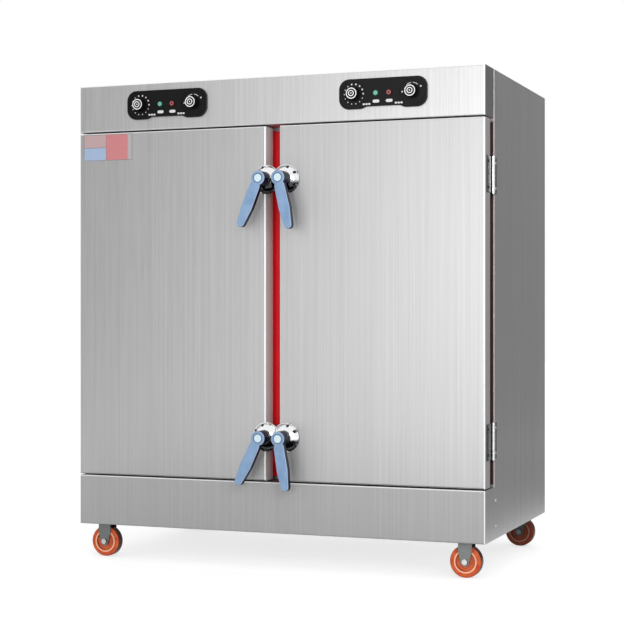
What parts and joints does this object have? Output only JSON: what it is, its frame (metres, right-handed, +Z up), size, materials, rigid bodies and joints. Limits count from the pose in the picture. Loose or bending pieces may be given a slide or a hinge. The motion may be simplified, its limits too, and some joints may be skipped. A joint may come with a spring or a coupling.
{
  "type": "rice steamer cabinet",
  "caption": "Double-door electric rice steamer cabinet on casters, with drop-handle latches, red silicone door seals, tray racks, water tanks and dial controls in the header.",
  "frame": {"origin": "centre of the bounding box, on the floor under the wheels", "axes": "+Z up, the front with the doors faces -Y, +X to the viewer's right"},
  "size_m": [1.416, 0.932, 1.561],
  "materials": {
    "casing_steel": "vertical brushed grain",
    "inner_steel": "satin",
    "frame_steel": "matt grey",
    "red_silicone": "soft satin",
    "foam": "matt",
    "chrome": "mirror",
    "blue_plastic": "satin",
    "black_gloss": "gloss",
    "dark_plastic": "matt",
    "pale_plastic": "matt",
    "lamp_lens": "gloss",
    "red_tyre": "satin"
  },
  "bodies": {
    "cabinet": {"base_front_panel": "casing_steel", "left_side_panel": "casing_steel", "right_side_panel": "casing_steel", "back_panel": "casing_steel", "top_panel": "casing_steel", "header_casing": "casing_steel", "front_frame": "casing_steel", "left_chamber_liner": "inner_steel", "right_chamber_liner": "inner_steel", "steam_grates": "inner_steel", "tray_racks": "inner_steel", "water_tanks": "inner_steel", "heating_elements": "inner_steel", "drain_manifold": "inner_steel", "float_box": "inner_steel", "water_inlet": "inner_steel", "steam_vents": "inner_steel", "hinge_frame_leaves": "inner_steel", "cabinet_screws": "inner_steel", "latch_keepers": "inner_steel", "base_frame": "frame_steel", "caster_forks": "frame_steel", "electrical_box": "frame_steel", "front_seal": "red_silicone", "body_insulation": "foam", "hinge_pins": "chrome", "control_bezels": "black_gloss", "cable_gland": "dark_plastic", "control_units": "pale_plastic", "indicator_lamps": "lamp_lens"},
    "left_door": {"left_door_shell": "casing_steel", "left_door_inner_pan": "casing_steel", "left_door_insulation": "foam", "left_door_hinge_leaves": "inner_steel", "left_latch_rosettes": "chrome", "left_door_screws": "inner_steel"},
    "upper_left_latch": {"upper_left_handle": "blue_plastic", "upper_left_latch_bolt": "inner_steel"},
    "lower_left_latch": {"lower_left_handle": "blue_plastic", "lower_left_latch_bolt": "inner_steel"},
    "left_timer": {"left_timer_knob": "dark_plastic"},
    "left_thermostat": {"left_thermostat_knob": "dark_plastic"},
    "right_door": {"right_door_shell": "casing_steel", "right_door_inner_pan": "casing_steel", "right_door_insulation": "foam", "right_door_hinge_leaves": "inner_steel", "right_latch_rosettes": "chrome", "right_door_screws": "inner_steel"},
    "upper_right_latch": {"upper_right_handle": "blue_plastic", "upper_right_latch_bolt": "inner_steel"},
    "lower_right_latch": {"lower_right_handle": "blue_plastic", "lower_right_latch_bolt": "inner_steel"},
    "right_timer": {"right_timer_knob": "dark_plastic"},
    "right_thermostat": {"right_thermostat_knob": "dark_plastic"},
    "front_left_caster": {"front_left_wheel": "red_tyre"},
    "front_right_caster": {"front_right_wheel": "red_tyre"},
    "rear_left_caster": {"rear_left_wheel": "red_tyre"},
    "rear_right_caster": {"rear_right_wheel": "red_tyre"},
    "drain_valve": {"drain_lever": "inner_steel"},
    "float": {"float_arm": "pale_plastic"}
  },
  "joints": [
    {"name": "left_door_hinge", "type": "hinge", "parent": "cabinet", "child": "left_door", "pos_m": [-0.702, -0.324, 0.8245], "axis": [0, 0, -1], "range_deg": [0, 180]},
    {"name": "upper_left_latch_pivot", "type": "hinge", "parent": "left_door", "child": "upper_left_latch", "pos_m": [-0.0205, -0.414, 1.233], "axis": [0, 1, 0], "range_deg": [-23, 67]},
    {"name": "lower_left_latch_pivot", "type": "hinge", "parent": "left_door", "child": "lower_left_latch", "pos_m": [-0.0205, -0.414, 0.417], "axis": [0, 1, 0], "range_deg": [-26, 64]},
    {"name": "left_timer_turn", "type": "hinge", "parent": "cabinet", "child": "left_timer", "pos_m": [-0.466, -0.404, 1.489], "axis": [0, 1, 0], "range_deg": [0, 300]},
    {"name": "left_thermostat_turn", "type": "hinge", "parent": "cabinet", "child": "left_thermostat", "pos_m": [-0.276, -0.404, 1.489], "axis": [0, 1, 0], "range_deg": [0, 270]},
    {"name": "right_door_hinge", "type": "hinge", "parent": "cabinet", "child": "right_door", "pos_m": [0.702, -0.324, 0.8245], "axis": [0, 0, 1], "range_deg": [0, 180]},
    {"name": "upper_right_latch_pivot", "type": "hinge", "parent": "right_door", "child": "upper_right_latch", "pos_m": [0.0465, -0.414, 1.233], "axis": [0, -1, 0], "range_deg": [-13, 77]},
    {"name": "lower_right_latch_pivot", "type": "hinge", "parent": "right_door", "child": "lower_right_latch", "pos_m": [0.0465, -0.414, 0.417], "axis": [0, -1, 0], "range_deg": [-9, 81]},
    {"name": "right_timer_turn", "type": "hinge", "parent": "cabinet", "child": "right_timer", "pos_m": [0.276, -0.404, 1.489], "axis": [0, 1, 0], "range_deg": [0, 300]},
    {"name": "right_thermostat_turn", "type": "hinge", "parent": "cabinet", "child": "right_thermostat", "pos_m": [0.466, -0.404, 1.489], "axis": [0, 1, 0], "range_deg": [0, 270]},
    {"name": "front_left_wheel_spin", "type": "hinge", "parent": "cabinet", "child": "front_left_caster", "pos_m": [-0.622, -0.338, 0.05], "axis": [0, 1, 0], "continuous": true},
    {"name": "front_right_wheel_spin", "type": "hinge", "parent": "cabinet", "child": "front_right_caster", "pos_m": [0.622, -0.338, 0.05], "axis": [0, 1, 0], "continuous": true},
    {"name": "rear_left_wheel_spin", "type": "hinge", "parent": "cabinet", "child": "rear_left_caster", "pos_m": [-0.622, 0.348, 0.05], "axis": [0, 1, 0], "continuous": true},
    {"name": "rear_right_wheel_spin", "type": "hinge", "parent": "cabinet", "child": "rear_right_caster", "pos_m": [0.622, 0.348, 0.05], "axis": [0, 1, 0], "continuous": true},
    {"name": "drain_lever_turn", "type": "hinge", "parent": "cabinet", "child": "drain_valve", "pos_m": [0.12, 0.424, 0.216], "axis": [0, 0, 1], "range_deg": [0, 90]},
    {"name": "float_pivot", "type": "hinge", "parent": "cabinet", "child": "float", "pos_m": [-0.14, 0.3605, 0.3115], "axis": [-1, 0, 0], "range_deg": [0, 25]}
  ]
}
